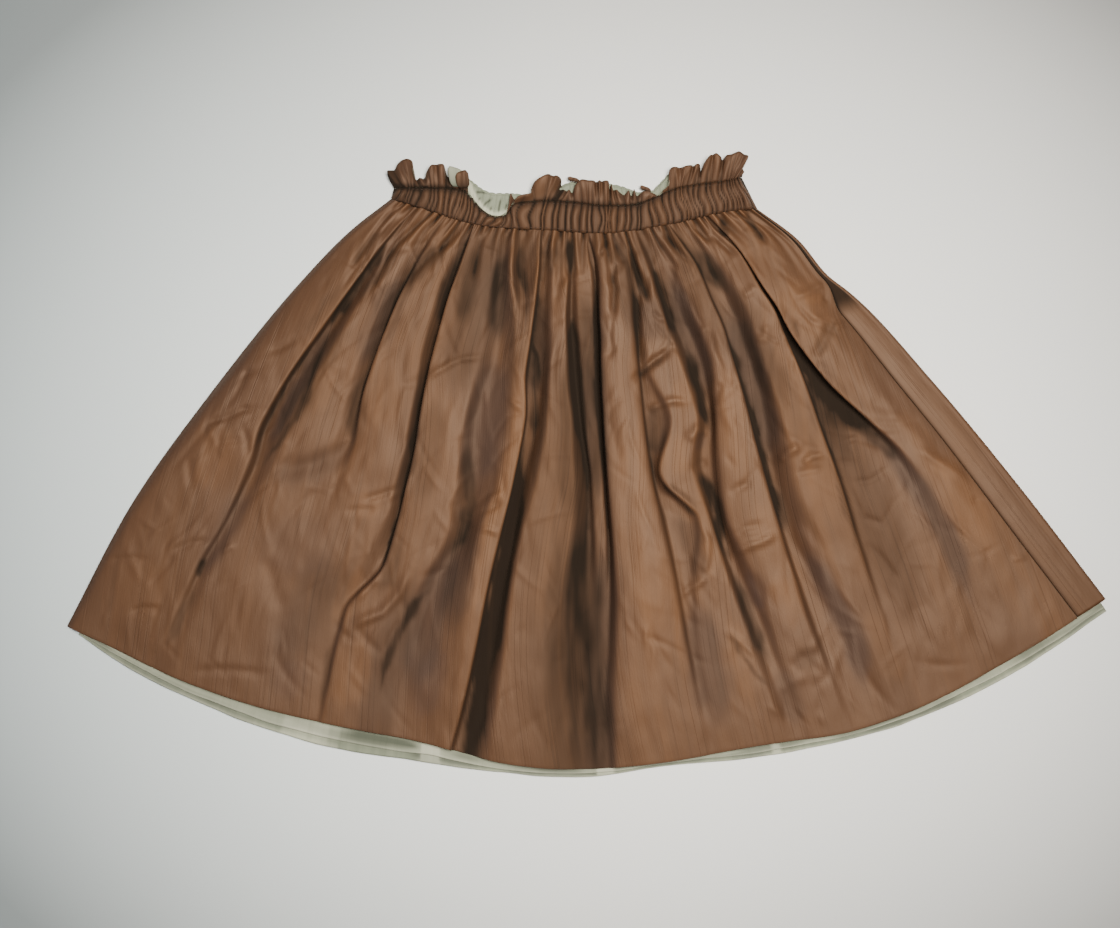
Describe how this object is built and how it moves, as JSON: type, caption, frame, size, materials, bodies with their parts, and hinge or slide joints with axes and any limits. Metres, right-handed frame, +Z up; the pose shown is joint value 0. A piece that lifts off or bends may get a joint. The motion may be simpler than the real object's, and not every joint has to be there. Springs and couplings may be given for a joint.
{
  "type": "gathered leather skirt",
  "caption": "Child's flared skirt in thin brown leather, laid flat, with an elasticated ruffled waist and a pale lining that shows below the hem.",
  "frame": {"origin": "on the ground, under the middle of the laid-out skirt's outline", "axes": "+X to the right across the front, +Y towards the waist, +Z up from the ground, out of the front"},
  "size_m": [0.726, 0.4365, 0.0235],
  "materials": {
    "leather": "thin soft brown leather with a low sheen and fine lengthwise lines",
    "lining": "matt pale sage cloth"
  },
  "bodies": {
    "root": {"back_panel": "leather", "front_panel": "leather", "back_casing": "leather", "front_casing": "leather", "back_ruffle": "leather", "front_ruffle": "leather", "back_lining": "lining", "front_lining": "lining", "back_lining_heading": "lining"}
  },
  "joints": []
}
